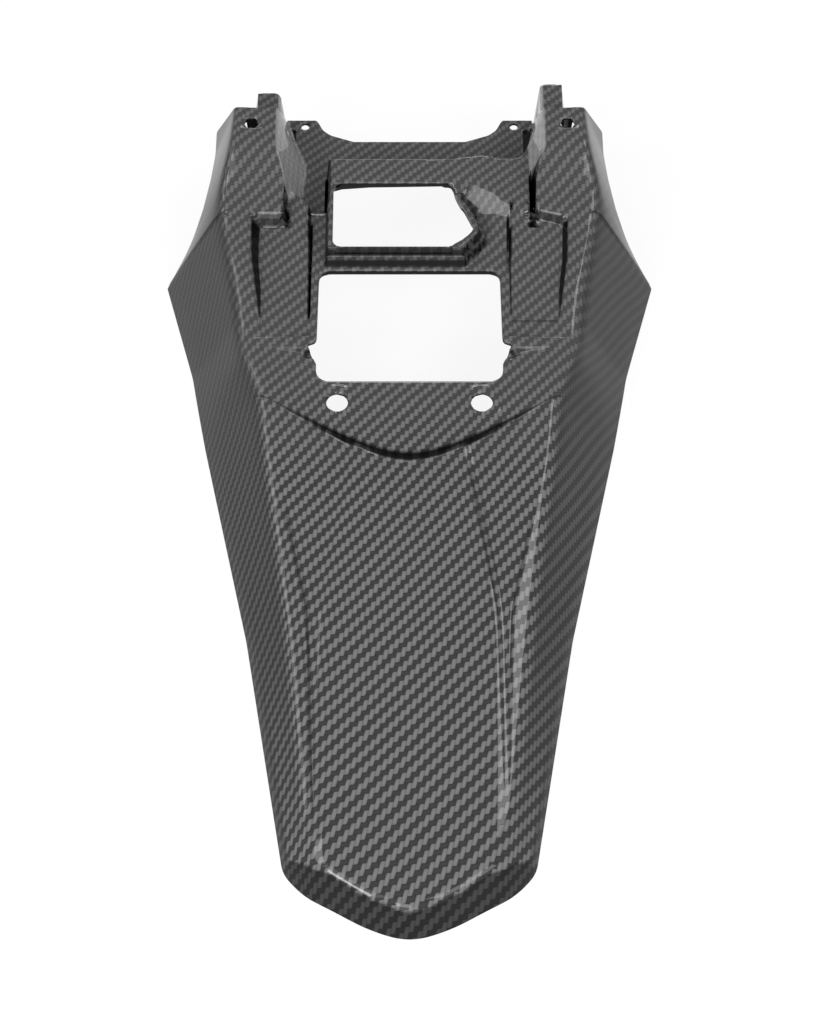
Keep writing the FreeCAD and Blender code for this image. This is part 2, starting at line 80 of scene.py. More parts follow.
# outline and creases: half widths and heights at stations along Y
CREASE = table(
    (-260, 39.3), (NOSE_Y, 44.5), (WAIST_Y, 57), (STEP_APEX_Y, 68), (STEP_END_Y, 71), (47, 86.9),
    (100, 93.6), (118, 93.6), (134, 88.5), (PAD_FRONT_Y, 87), (LUG_FRONT_Y, 87))
CREASE_Z = table(
    (-260, 9.3), (NOSE_Y, 15.5), (WAIST_Y, 27.7), (STEP_APEX_Y, 40.1), (STEP_END_Y, 50), (42, 50),
    (50, 53), (60, 55.5), (100, 61.5), (118, 66), (134, 80), (LUG_FRONT_Y, 80))
CREASE_ROUND = table(
    (NOSE_Y, 2), (WAIST_Y, 3), (-28, 4.5), (STEP_END_Y, 7), (47, 9), (CORNER_Y, 9), (134, 7),
    (PAD_FRONT_Y, 4))
LIP_X = table(
    (-260, 47.5), (NOSE_Y, 55.4), (WAIST_Y, 74.4), (STEP_APEX_Y, 91.1), (STEP_END_Y, 98.4),
    (47, 106.8), (CORNER_Y, 122.6), (113, 119.7), (118, 118), (134, 115.6), (PAD_FRONT_Y, 112),
    (LUG_FRONT_Y, 112))
LIP_HEIGHT = 5.0
LIP_FLARE = 2.6
LOWER_EDGE = table((CORNER_Y, 0), (105.5, 9), (127, 37), (140, 43.5))

# nose band: Y of its foot at distances from the middle, and how far it leans back
NOSE_OUTLINE = table(
    (0, -252), (3.2, -252), (8, -251), (17, -247.8), (24.5, -244.2), (32, -239.8), (40, -235.6),
    (48, -231), (58.6, -219), (64, -212))
NOSE_LEAN = 0.7
NOSE_WALL = 1.22
NOSE_TOP = 13.5
NOSE_ROUND = 5.0

# tail: shoulders, the bands beside the crease and the raised centre panel
TAIL_TOP = table(
    (-260, 9.8), (NOSE_Y, 16), (WAIST_Y, 31), (STEP_APEX_Y, 41.5), (STEP_END_Y, 50), (20, 44))
BAND_WIDTH = table((-260, 1.5), (NOSE_Y, 1.5), (WAIST_Y, 9.5), (STEP_APEX_Y, 4), (STEP_END_Y, 4))
BAND_GRADE = table((STEP_APEX_Y, 0.35), (STEP_END_Y, 0))
CENTRE_HALF = table((-260, 41.5), (NOSE_Y, 41), (WAIST_Y, 40), (STEP_APEX_Y, 27), (STEP_END_Y, 21))
CENTRE_SOFTEN = 12.0
CENTRE_LIFT = 2.0
CENTRE_FALL = 0.67

# fine fold lines on the tail: how strong each is along Y, and how deep they all are; their strength also sets
# painted shade along them
LEFT_BAND_FOLD = table((-205, 0.0), (-185, 1.0), (-62, 1.0), (-48, 0.0))
RIGHT_BAND_FOLD = table((-140, 0.0), (-128, 0.8), (-66, 0.8), (-48, 0.0))
CENTRE_FOLD = table((-125, 0.0), (-105, 0.7), (-38, 0.7), (-30, 0.0))
THIN_FOLD = table((-110, 0.0), (-95, 0.5), (-50, 0.5), (-36, 0.0))
FOLD_DEPTH = 0.2

# the V step between plate and tail
STEP_END_X = 71.0
STEP_ROUND = 22.0
STEP_COSINE = 0.87
STEP_DEPTH = 9.0
CHAMFER_FROM = 5.5
CHAMFER_RUN = 1.5
CHAMFER_RISE = 0.97

# ridges and dents beside the lower window, and the seats of the lower holes
BEAD_HEIGHT = 3.1
BEAD_END_X = 80.0
BEAD_FRONT_Y = 37.6
BEAD_REAR_Y = 33.0
DENT_DEPTH = 2.0
DENT_X = 47.5
DENT_Y = 27.6
SEAT_RADIUS = 10.2
SEAT_RISE = 0.6

# side panels
SIDE_RISE = table((47, 0.6), (70, 1), (100, 4.2), (126, 7))
RIGHT_RAMP = 1.5
PANEL_INNER_X = 49.3
LEFT_PANEL_FRONT_Y = 126.0
RIGHT_PANEL_FRONT_Y = 130.0
LEFT_PANEL_CORNER = ((-46.6, 113.3), (-60.2, 125.9))

# platform: its edges, the collar's outline on the right and the facet's three corners
PLATFORM_LEFT_X = -41.0
PLATFORM_RIGHT_X = 63.0
PLATFORM_FRONT = table(
    (-60, 140.7), (22, 140.7), (29.6, 142), (35.7, 143), (39.9, 142.5), (44.2, 140.9), (51.2, 140.7),
    (55.6, 142.1), (58.1, 145.6), (60.4, 151.9), (62.4, 158.3), (66, 165))
COLLAR_LINE = ((26.6, 83.0), (35.6, 94.0), (35.4, 102.0), (29.0, 111.6), (23.8, 124.0))
NECK = (23.6, 124.4)
RIDGE = (34.6, 124.7)
HEEL = (49.5, 112.4)
FACET_FALL = 0.76
FACET_RIGHT_X = 50.8
FACET_REAR_Y = 88.0

# rails and uprights: half distances of the rails' inner edge and of the uprights' inner walls
RAIL_EDGE = table((47, 73), (52, 74.1), (81, 78.2), (106, 78.9))
LEFT_EDGE = table((104, 62.4), (118, 62), (124, 62.6), (129, 64.5), (134, 66), (LUG_FRONT_Y, 66.2))
LEFT_FOOT = table(
    (104, 60.8), (118, 60), (124, 55), (130, 54.4), (137.6, 53.7), (143.9, 52.8), (149.4, 54),
    (158, 57.3), (171, 61.9), (LUG_FRONT_Y, 63))
RIGHT_EDGE = table((104, 62.4), (122, 62.4), (128, 64.2), (131, 65.8), (134, 67.2), (LUG_FRONT_Y, 66.8))
RIGHT_FOOT = table(
    (104, 61.8), (124, 61.8), (134, 60.4), (152, 60.4), (158.3, 62.4), (171, 64), (LUG_FRONT_Y, 64.5))
RAIL_REAR_Y = 40.0
RAIL_SLOPE = 1.6
SCOOP_Z = 54.0
SCOOP_SLOPE = 1.9
LEFT_SCOOP_Y = 100.5
RIGHT_SCOOP_Y = 99.8
RAKE = 0.4

# narrow cuts: place across, and rear and front ends; the uprights' have them as left and right
UPRIGHT_CUT_X = 60.9
UPRIGHT_CUT_REAR = (103.0, 99.5)
UPRIGHT_CUT_FRONT = (109.5, 127.5)
PANEL_CUT_X = 48.9
PANEL_CUT_ENDS = (50.0, 105.5)
PLATFORM_CUT_X = -41.9
PLATFORM_CUT_ENDS = (117.0, 137.0)

# lugs, cross bar and the fronts' half distances
LUG_X = 72.0
LUG_HALF = 8.5
LUG_REAR_Y = 150.0
LUG_ROUND = 5.0
LUG_FOOT = 44.0
LUG_SLOPE = 14.0
LEFT_LUG_TOP = 66.0
RIGHT_LUG_TOP = 73.5
BAR_FRONT = table((0, 163), (28.5, 163), (40.5, 167.3), (44.5, 170.7), (47.5, 177.2), (70, 177.2))
BAR_HALF = 65.0
UPRIGHT_INNER_X = 56.0

# round holes: half distance, station and radius
LOWER_HOLE = (34.5, 0.0, 5.2)
TOP_HOLE = (78.5, 147.5, 3.5)
TAB_HOLE = (53.6, 173.8, 2.1)
EDGE_ROUND = 1.1

# flanges that turn down at the windows' front edges: where each begins, how far it goes, and its depth
UPPER_FLANGE_Y = 120.0
LOWER_FLANGE_Y = 74.0
FLANGE_STRETCH = 8.0
FLANGE_HALF = 46.0
UPPER_FLANGE = table((-38, 4), (-20, 2), (20, 1))
LOWER_FLANGE = 1.5

# twill: width of a tow across, tows for each millimetre along, and how that grows towards the front
TOW_WIDTH = 2.0
TOWS_PER_MM = 0.6
TOWS_GROWTH = 0.000782

# how much a tow falls from its crown to its edges, and to the ends of its float
TOW_CROWN = 2.6
FLOAT_DIP = 0.35

# bump of the weave and the clear coat over it
BUMP_STRENGTH = 0.35
BUMP_DISTANCE = 0.0004
COAT_ROUGHNESS = 0.03
COAT_IOR = 1.36

# tones: the middle tone's share of bright, the contrast left in front and where it is reached in metres
MIDDLE_TONE = 0.38
FRONT_CONTRAST = 0.52
CONTRAST_FADE = 0.06
# strength of the painted shade that darkens the cloth at full share
PAINTED_SHADE_STRENGTH = 0.97
COATED = {
    "bright": (0.132, 0.132, 0.132, 1.0),
    "dark": (0.027, 0.027, 0.027, 1.0),
    # the next tone is a pale painted reflection on the uprights' inner walls
    "reflection_tone": (0.26, 0.26, 0.26, 1.0),
    "coat": 0.75,
    "roughness": 0.4,
}
UNCOATED = {
    "bright": (0.07, 0.07, 0.072, 1.0),
    "dark": (0.04, 0.04, 0.042, 1.0),
    # the next tone is the painted reflection's tone on the inner face
    "reflection_tone": (0.05, 0.05, 0.05, 1.0),
    "coat": 0.0,
    "roughness": 0.55,
}

# studio: how much the surroundings light the fender, and the floor, with the share of it seen as white
WHITE = (1.0, 1.0, 1.0, 1.0)
WORLD_LIGHT = 0.3
FLOOR_COLOUR = (0.96, 0.96, 0.96, 1.0)
FLOOR_WHITE = 0.88
FLOOR_HALF = 6.0
FLOOR_DROP = 0.0003

# softboxes with place and side in metres and power in watts, and the camera in pixels and millimetres
LAMP_TARGET = (0.0, 0.0, 0.03)
SOFTBOXES = (
    ("left_key", (-0.95, -1.05, 1.6), 1.0, 8.5),
    ("right_key", (0.95, -1.05, 1.6), 1.0, 18.0),
    ("upper_lamp", (-0.13, -1.2, 0.93), 0.34, 3.6),
    ("left_lamp", (-0.92, -0.18, 1.05), 0.4, 3.4),
    ("side_lamp", (-1.35, 0.3, 0.62), 0.4, 1.6),
    ("right_lamp", (0.94, 0.28, 1.15), 0.42, 4.0),
    ("back_lamp", (0.0, 2.2, 1.0), 0.65, 12.0),
    ("front_lamp", (0.0, -2.0, 0.85), 0.7, 4.0),
    ("nose_lamp", (-1.05, -1.45, 1.12), 0.48, 15.0),
)
SENSOR = 36.0
FOCAL_PIXELS = 2500.0
FRAME_PIXELS = 1024.0
CAMERA_Y = -667.0
CAMERA_Z = 1038.0
CAMERA_PITCH = 58.5


def along(y, values, soften=5.0):
    """Straight lines between a table's stations, averaged over a short stretch, so that bends are soft."""
    shifts = (-1.0, -0.5, 0.0, 0.5, 1.0)
    return sum(np.interp(y + soften * shift, *values) for shift in shifts) / len(shifts)


def soft_min(a, b, width):
    """The lower of two heights; where they differ by less than width, a parabola rounds the edge."""
    share = np.clip(0.5 + 0.5 * (b - a) / width, 0.0, 1.0)
    return b + (a - b) * share - width * share * (1.0 - share)


def soft_max(a, b, width):
    """The higher of two heights, with the same rounding in the inside corner."""
    return -soft_min(-a, -b, width)


def left_of(x, y, start, end):
    """Distance of (x, y) to the left of the line from start to end."""
    run = end[0] - start[0]
    rise = end[1] - start[1]
    return (run * (y - start[1]) - rise * (x - start[0])) / math.hypot(run, rise)


def wall(foot, distance, inset):
    """A steep wall: foot height plus the slope times the distance inside the form's outline."""
    return foot + WALL_SLOPE * (distance - inset)


def block(top, sides, width):
    """A raised form: the lowest of its top and its steep sides, with a rounded upper edge."""
    height = top
    for side in sides:
        height = soft_min(height, side, width)
    return height


def step_line(x):
    """Y of the V step: a hyperbola round its apex, level past the step's ends."""
    grade = (STEP_END_Y - STEP_APEX_Y) / (math.hypot(STEP_END_X, STEP_ROUND) - STEP_ROUND)
    side = np.minimum(np.abs(x), STEP_END_X + 2.0)
    return STEP_APEX_Y + grade * (np.hypot(side, STEP_ROUND) - STEP_ROUND)


def ahead_of_step(x, y):
    """Distance in front of the V step, across its slanted line."""
    return (y - step_line(x)) * STEP_COSINE


def band_edge(y):
    """Half distance of the inner edge of the band beside the crease."""
    return along(y, CREASE) - along(y, BAND_WIDTH)


def tail(x, y, inset):
    """The tail: shoulders, a raised centre panel with sloped sides, and a band that falls to the crease."""
    side = np.abs(x)
    base = along(y, TAIL_TOP) - inset
    centre = base + CENTRE_LIFT
    slanted = centre - CENTRE_FALL * (side - along(y, CENTRE_HALF, CENTRE_SOFTEN) + 0.6 * inset)
    top = soft_max(base, soft_min(centre, slanted, 1.0), 0.9)
    band = base - along(y, BAND_GRADE) * (side - band_edge(y))
    return soft_min(top, band, 0.8)


def fold_line(away, half, sharpness):
    """1 on a fold line and 0 away from it: sharpness less the distance in half widths, cut to 0 and 1."""
    return np.clip(sharpness - np.abs(away) / half, 0.0, 1.0)


def folds(x, y):
    """Strength of the tail's fold lines: at both bands' inner edges and twice at the centre panel's right."""
    side = np.abs(x)
    centre_edge = along(y, CENTRE_HALF, CENTRE_SOFTEN)
    band_reach = np.where(x < 0, np.interp(y, *LEFT_BAND_FOLD), np.interp(y, *RIGHT_BAND_FOLD))
    band = band_reach * fold_line(side - band_edge(y) + 0.2, 0.7, 1.5)
    centre = np.interp(y, *CENTRE_FOLD) * (x > 0) * fold_line(side - centre_edge - 0.6, 0.8, 1.5)
    thin = np.interp(y, *THIN_FOLD) * (x > 0) * fold_line(side - centre_edge - 3.6, 0.5, 1.3)
    return np.maximum(np.maximum(band, centre), thin)


def bead(x, y):
    """Two low ridges that run out from the window's notches: a short rise in front and a slower fall behind.

    Height and width die away with distance in X, and a small oval dent lies behind the crest at each notch.
    """
    side = np.abs(x)
    run = np.clip((BEAD_END_X - side) / 30.0, 0.0, 1.2)
    rise = (BEAD_FRONT_Y - y) / 1.3
    fall = (y - BEAD_REAR_Y + 5.5 * run) / (0.2 + 2.6 * run)
    profile = soft_min(np.clip(np.minimum(rise, fall), 0.0, 1.3), 1.0, 0.2)
    ridge = BEAD_HEIGHT * np.minimum(run, 1.0) * profile
    away = np.hypot((side - DENT_X) / 3.4, (y - DENT_Y) / 1.5)
    dent = DENT_DEPTH * np.clip((1.15 - away) / 0.4, 0.0, 1.0)
    return (ridge - dent) * (side > 30.0)


def seat(x, y):
    """The faint round seats of the lower holes: a disc with a soft rim."""
    away = np.hypot(np.abs(x) - LOWER_HOLE[0], y)
    return SEAT_RISE * np.clip((SEAT_RADIUS - away) / 1.2, 0.0, 1.0)


def plate(x, y, inset):
    """The flat plate, which ends in the V step behind and at the channel in front.

    The V step's upper edge is rounder where the step is deeper.
    """
    top = np.full(x.shape, PLATE - inset)
    drop = np.clip(PLATE - along(y, TAIL_TOP), 0.0, STEP_DEPTH)
    form = soft_min(top, wall(PLATE - inset, ahead_of_step(x, y), inset), 0.8 + 0.25 * drop)
    form = soft_min(form, wall(0.5 * (PLATE + CHANNEL), PLATE_FRONT_Y - y, inset), 2.0)
    return form + bead(x, y) + seat(x, y)


def side_panel(x, y, inset, side):
    """The ramped panel beside the windows, with a low step towards them; side is -1 for the left one.

    The right one ramps more and rises once more in front, up to the platform.
    """
    ramp = along(y, SIDE_RISE, 8.0)
    edges = [wall(PLATE, side * x - PANEL_INNER_X, inset), wall(PLATE, y - PANEL_REAR_Y, inset)]
    if side < 0:
        level = PLATE - inset + ramp
        edges.append(wall(PLATE, LEFT_PANEL_FRONT_Y - y, inset))
        edges.append(wall(PLATE, left_of(x, y, *LEFT_PANEL_CORNER), inset))
    else:
        front_rise = 2.6 * np.clip((y - 102.0) / 10.0, 0.0, 1.0)
        level = np.minimum(PLATE - inset + RIGHT_RAMP * ramp + front_rise, PLATFORM - 0.2 - inset)
        edges.append(wall(PLATE, RIGHT_PANEL_FRONT_Y - y, inset))
    return block(level, edges, 2.4)


def platform(x, y, inset):
    """The raised platform: a collar round the upper window, a part in front of it, and a slanted facet.

    The collar has a ledge round its foot.  The facet falls from its ridge to an apron that rises
    towards the right side panel.
    """
    top = np.full(x.shape, PLATFORM - inset)
    middle = 0.5 * (PLATE + PLATFORM)
    left = wall(middle, 2.2 * (x - PLATFORM_LEFT_X), inset)
    front = wall(middle, np.interp(x, *PLATFORM_FRONT) - y, inset)

    right_sides = [left_of(x, y, start, end) for start, end in zip(COLLAR_LINE[:-1], COLLAR_LINE[1:])]
    inside = np.minimum.reduce([y - COLLAR_LINE[0][1]] + right_sides)
    collar = soft_min(top, wall(middle, inside, inset), 3.0)
    ledge = soft_min(LEDGE - inset, wall(LEDGE - 3.0, inside + 2.2, inset), 2.0)
    collar = soft_min(soft_max(collar, ledge, 0.8), soft_min(left, front, 9.0), 4.0)

    edges = [left, front, wall(middle, PLATFORM_RIGHT_X - x, 0.0)]
    beside_ridge = left_of(x, y, RIDGE, HEEL)
    beyond_neck = block(top, edges + [top + 1.4 * left_of(x, y, NECK, RIDGE)], 5.0)
    beyond_ridge = block(top, edges + [wall(middle, beside_ridge, inset)], 4.0)

    apron = (2.7 + 0.34 * np.clip(x - 35.0, 0.0, 14.0)) * np.clip((y - FACET_REAR_Y) / 20.0, 0.0, 1.0)
    facet = top + FACET_FALL * np.minimum(beside_ridge, 0.0)
    facet = soft_max(facet, np.where(x > 33.0, PLATE - inset + apron, 0.0), 0.5)
    facet = block(facet, [wall(middle, FACET_RIGHT_X - x, 0.0), front], 0.5)
    facet = np.where((x > 22.5) & (y > FACET_REAR_Y), facet, 0.0)
    return soft_max(soft_max(collar, soft_max(beyond_neck, beyond_ridge, 0.8), 0.8), facet, 0.6)


def upright_wall(x, y):
    """Half distances of an upright's inner wall at its upper edge and at its foot."""
    edge = np.where(x < 0, along(y, LEFT_EDGE, 2.0), along(y, RIGHT_EDGE, 2.0))
    foot = np.where(x < 0, along(y, LEFT_FOOT, 3.0), along(y, RIGHT_FOOT, 2.0))
    return edge, foot


def rail(x, y, inset):
    """A side rail: low beside the panel, then a scooped slope, in front of which it widens into the upright.

    The upright's inner wall is straight from its foot to its upper edge.
    """
    side = np.abs(x)
    left = x < 0
    top = along(y, CREASE_Z, 6.0) - inset
    low = soft_min(top, top - RAIL_SLOPE * (along(y, RAIL_EDGE, 2.0) + 0.4 * inset - side), 1.5)
    scoop_foot = np.where(left, LEFT_SCOOP_Y, RIGHT_SCOOP_Y + 0.19 * (74.0 - side))
    scoop = SCOOP_Z - inset + SCOOP_SLOPE * (y - scoop_foot)
    edge, foot = upright_wall(x, y)
    base = np.where(left, CHANNEL, PLATFORM) - inset
    lean = (top - base) / (edge - foot)
    out = side - foot - 0.5 * inset
    inner_wall = base + np.where(out > 0.0, lean, np.where(left, lean, 9.0)) * out
    upright = soft_min(soft_min(top, inner_wall, 1.5), scoop, 4.5)
    return soft_max(low, upright, 0.8)


def narrow_cut(y, across, rear, front, bottom, half, steep):
    """A narrow cut: a flat bottom of a half width, steep walls beside it, and ends that rise slowly."""
    beyond = np.maximum(np.maximum(rear - y, y - front), 0.0)
    return bottom + steep * (np.abs(across) - half) + 4.0 * beyond


def cuts(x, y):
    """Height that the narrow cuts leave: by the uprights, the panels' inner steps and the platform."""
    side = np.abs(x)
    left = x < 0
    rear = np.where(left, *UPRIGHT_CUT_REAR)
    front = np.where(left, *UPRIGHT_CUT_FRONT)
    by_upright = narrow_cut(y, side - UPRIGHT_CUT_X, rear, front, PLATE, 0.3, 12.0)
    rising = np.where(left, 0.0, 0.3 * np.clip(y - 92.0, 0.0, 17.0))
    panel_half = np.where(left, 0.3, 0.0)
    by_panel = narrow_cut(y, side - PANEL_CUT_X, *PANEL_CUT_ENDS, PLATE - 1.0 + rising, panel_half, 9.0)
    by_platform = narrow_cut(y, x - PLATFORM_CUT_X, *PLATFORM_CUT_ENDS, CHANNEL - 2.0, 0.4, 12.0)
    return np.minimum.reduce([by_upright, by_panel, by_platform, np.full(x.shape, PAD_TOP)])


def flank(x, y, inset):
    """The sloping sides: straight from the crease down to the turned lip, which ends at the widest corner."""
    side = np.abs(x)
    lip_x = along(y, LIP_X, 2.0)
    grade = (along(y, CREASE_Z, 6.0) - LIP_HEIGHT) / (lip_x - along(y, CREASE))
    sloping = LIP_HEIGHT + grade * (lip_x - side) - inset * np.hypot(1.0, grade)
    lip_grade = LIP_HEIGHT / LIP_FLARE
    lip = lip_grade * (lip_x + LIP_FLARE - side) - inset * math.hypot(1.0, lip_grade)
    return np.where(y < CORNER_Y, soft_min(sloping, lip, 1.2), sloping)


def nose(x, y, inset):
    """The nose band: a steep plane that leans back from the pointed outline on the floor."""
    return (y - along(np.abs(x), NOSE_OUTLINE, 4.0) - NOSE_WALL * inset) / NOSE_LEAN


def upright_front(height):
    """Y of the uprights' raked fronts at a height."""
    return PAD_FRONT_Y + RAKE * (PAD_TOP - height)


def lug_distance(x, y):
    """Distance inside the plan outline of a lug: a rectangle with rounded front corners."""
    off_middle = np.abs(np.abs(x) - LUG_X)
    across = np.maximum(off_middle - LUG_HALF + LUG_ROUND, 0.0)
    ahead = np.maximum(y - LUG_FRONT_Y + LUG_ROUND, 0.0)
    in_corner = LUG_ROUND - np.hypot(across, ahead)
    flat = np.minimum(LUG_HALF - off_middle, LUG_FRONT_Y - y)
    return np.minimum(np.where((across > 0.0) & (ahead > 0.0), in_corner, flat), y - LUG_REAR_Y)


def lug(x, y, inset):
    """The hooded lugs in front of the uprights; the right one is higher."""
    top = np.where(x < 0, LEFT_LUG_TOP, RIGHT_LUG_TOP) - inset
    return soft_min(top, LUG_FOOT + LUG_SLOPE * (lug_distance(x, y) - inset), 3.0)


def skin_height(x, y, inset):
    """Height of the skin's outer face, or of its inner face.

    The forms from the tail to the front are joined by the higher of each two, and a small chamfer
    lies along the foot of the V step where the step is deep.  Then the cuts, the flanks, the
    raked fronts beside the uprights and the nose take their share away.
    """
    low = tail(x, y, inset)
    step = np.clip(PLATE - inset - low, 0.0, STEP_DEPTH)
    deep = np.clip((step - CHAMFER_FROM) / 2.5, 0.0, 1.0)
    chamfer_end = -step / WALL_SLOPE - CHAMFER_RUN * deep
    low = low + CHAMFER_RISE * np.clip(ahead_of_step(x, y) - inset - chamfer_end, 0.0, 1.2 * deep)
    low = low - FOLD_DEPTH * folds(x, y)
    top = soft_max(low, plate(x, y, inset), 1.2)
    channel = CHANNEL - inset - 3.0 * np.maximum(0.0, CHANNEL_REAR_Y - y)
    top = soft_max(top, channel, 0.8)
    for side in (-1, 1):
        top = soft_max(top, side_panel(x, y, inset, side), 0.5)
    top = soft_max(top, platform(x, y, inset), 0.8)
    top = soft_max(top, np.where(y > RAIL_REAR_Y, rail(x, y, inset), 0.0), 0.6)
    top = soft_min(top, cuts(x, y) - inset, 0.6)
    height = soft_min(top, flank(x, y, inset), along(y, CREASE_ROUND, 8.0))
    raked = PAD_TOP - (y - PAD_FRONT_Y) / RAKE
    lowered = np.minimum(height, np.maximum(raked, CHANNEL - inset))
    height = np.where(np.abs(x) < BAR_HALF, lowered, height)
    return soft_min(height, nose(x, y, inset), NOSE_ROUND)


def rounded_outline(corners, steps=7):
    """A closed outline through corners (x, y, radius), each radius as an arc of a few points."""
    points = []
    count = len(corners)
    for index, (x, y, radius) in enumerate(corners):
        here = np.array((x, y))
        if radius == 0.0:
            points.append(here)
            continue
        before = np.array(corners[index - 1][:2]) - here
        after = np.array(corners[(index + 1) % count][:2]) - here
        before = before / np.linalg.norm(before)
        after = after / np.linalg.norm(after)
        half_angle = 0.5 * math.acos(np.clip(before @ after, -1.0, 1.0))
        middle = (before + after) / np.linalg.norm(before + after)
        centre = here + middle * radius / math.sin(half_angle)
        first = here + before * radius / math.tan(half_angle) - centre
        last = here + after * radius / math.tan(half_angle) - centre
        for share in np.linspace(0.0, 1.0, steps):
            ray = first * (1.0 - share) + last * share
            points.append(centre + ray / np.linalg.norm(ray) * radius)
    return np.array(points)


def outside(x, y, outline):
    """Distance outside a closed outline, negative inside it.

    It is the least distance to a side, signed by how often a line from the place crosses the outline.
    """
    best = np.full(x.shape, 1e9)
    inside = np.zeros(x.shape, bool)
    for start, end in zip(outline, np.roll(outline, -1, axis=0)):
        run, rise = end - start
        from_x = x - start[0]
        from_y = y - start[1]
        share = np.clip((from_x * run + from_y * rise) / (run * run + rise * rise), 0.0, 1.0)
        best = np.minimum(best, np.hypot(from_x - share * run, from_y - share * rise))
        crosses = (start[1] > y) != (end[1] > y)
        with np.errstate(divide="ignore", invalid="ignore"):
            inside ^= crosses & (x < start[0] + from_y * run / rise)
    return np.where(inside, -best, best)


# windows as corners with radii; the lower one is the same on both sides
UPPER_WINDOW = rounded_outline([
    (-37.8, 85.2, 4.0), (20.0, 85.2, 4.0), (26.4, 89.7, 5.6), (32.2, 95.8, 5.0),
    (21.2, 124.5, 3.0), (-37.8, 124.5, 4.0),
])
RIGHT_SIDE = [
    (45.0, 12.6, 6.2), (45.0, 22.7, 0.0), (47.0, 27.3, 0.0), (49.4, 31.6, 0.0), (45.9, 33.0, 0.0),
    (45.0, 34.5, 0.0), (44.4, 78.3, 5.5),
]
LOWER_WINDOW = rounded_outline(RIGHT_SIDE + [(-x, y, radius) for x, y, radius in reversed(RIGHT_SIDE)])


def window_distance(x, y):
    """Distance from the nearest window or hole edge, positive on the skin."""
    away = np.minimum(outside(x, y, UPPER_WINDOW), outside(x, y, LOWER_WINDOW))
    for half, station, radius in (LOWER_HOLE, TOP_HOLE, TAB_HOLE):
        away = np.minimum(away, np.hypot(np.abs(x) - half, y - station) - radius)
    return away


def skin_margin(x, y):
    """How far inside the skin's edges a place lies, negative off the skin.

    It is the least of the distances to the lower edge, to the windows and holes and to the front,
    where the skin reaches as far as the cross bar, the uprights or the lugs do.
    """
    side = np.abs(x)
    height = skin_height(x, y, 0.0)
    low = (height - np.interp(y, *LOWER_EDGE)) / 1.9
    bar = np.minimum(along(side, BAR_FRONT, 0.8) - y, BAR_HALF - side)
    upright = np.minimum((upright_front(height) - y) * 0.9, side - UPRIGHT_INNER_X)
    front = np.maximum(np.maximum(bar, upright), lug_distance(x, y))
    return np.minimum(np.minimum(low, window_distance(x, y)), front)


# key columns from the middle out: half distances tabled along Y, and the number of columns up to each
COLUMNS = (
    (table(
        (-260, 20), (-214, 20), (-103, 20), (-28, 14), (-10, 18), (8, 30), (78, 32), (86, 22),
        (92, 28), (97, 31.6), (109, 27), (124, 21.5), (163, 22), (182, 22)), 15),
    (table(
        (-260, 38), (-214, 38.5), (-103, 40.5), (-28, 26.5), (-10, 33), (8, 44), (78, 44.5),
        (84, 36.5), (102, 36.5), (112, 31), (124, 26), (163, 29), (182, 29)), 11),
    (table(
        (-260, 41.3), (-214, 41.5), (-103, 44), (-28, 29), (-5, 42), (10, 46), (78, 46), (84, 41.5),
        (163, 41.5), (182, 41.5)), 8),
    (table((-260, 41.8), (-214, 42), (-103, 44.6), (-28, 31), (-5, 45), (10, 49.3), (182, 49.3)), 8),
    (table(
        (-260, 43), (-214, 43.5), (-103, 47.5), (-28, 64), (5, 67), (47, 71.5), (81, 74), (100, 74.6),
        (112, 58.8), (182, 58.8)), 14),
    (table(
        (-260, 44.2), (-214, 44.7), (-103, 52), (-28, 66), (5, 69), (47, 73.5), (81, 78.4),
        (100, 79.2), (112, 63), (124, 63.5), (134, 66.8), (182, 66.8)), 14),
    (table(
        (-260, 46), (-214, 46), (-103, 57), (-28, 68), (5, 71), (47, 86.9), (105, 93.6), (118, 93.6),
        (134, 88.5), (157, 87), (182, 87)), 10),
    (table(
        (-260, 55.8), (-214, 55.8), (-103, 74.4), (-28, 91), (5, 98.4), (47, 106.8), (104.9, 122.6),
        (105.6, 118.8), (113, 112.5), (127, 103.5), (140, 100.5), (157, 98.5), (182, 98)), 11),
    (table(
        (-260, 59), (-214, 59.2), (-103, 78), (-28, 94.7), (5, 102), (47, 110.4), (104.9, 126.2),
        (105.6, 122), (113, 116), (127, 107), (140, 103.5), (157, 101.5), (182, 101)), 6),
)

# key rows of the grid and the number of rows up to each
ROWS = (
    (-253, 0), (-248.5, 5), (-243, 5), (-239, 5), (-234, 5), (-206, 9), (-103, 22), (-45, 13), (-30.5, 7),
    (-26, 10), (-9, 8), (9, 13), (14, 6), (22, 5), (27, 5), (38, 16), (45, 4), (48, 5), (76, 9), (80, 5),
    (88, 14), (98, 7), (110, 16), (117, 6), (128, 12), (134, 5), (139, 5), (144, 10), (152, 8), (156.8, 4),
    (157.3, 1), (165, 7), (171, 7), (178.5, 12), (181, 4),
)


def eased(count):
    """Shares from above 0 to 1, closer together near both ends."""
    share = np.linspace(0.0, 1.0, count + 1)[1:]
    return share - 0.55 * np.sin(2 * math.pi * share) / (2 * math.pi)


def grid_rows():
    """Stations of the grid's rows, closer together near each key row."""
    rows = [np.array([float(ROWS[0][0])])]
    for (start, _), (end, count) in zip(ROWS[:-1], ROWS[1:]):
        rows.append(start + (end - start) * eased(count))
    return np.concatenate(rows)


def grid_columns(y):
    """Half distances of the grid's columns from the middle out, each column at its own stations y."""
    column = 1
    previous = table((TIP_Y, 0.0), (LUG_FRONT_Y, 0.0))
    half = [np.zeros(len(y))]
    for values, count in COLUMNS:
        for share in eased(count):
            start = np.interp(y[:, column], *previous)
            half.append(start + (np.interp(y[:, column], *values) - start) * share)
            column += 1
        previous = values
    return np.stack(half, axis=1)


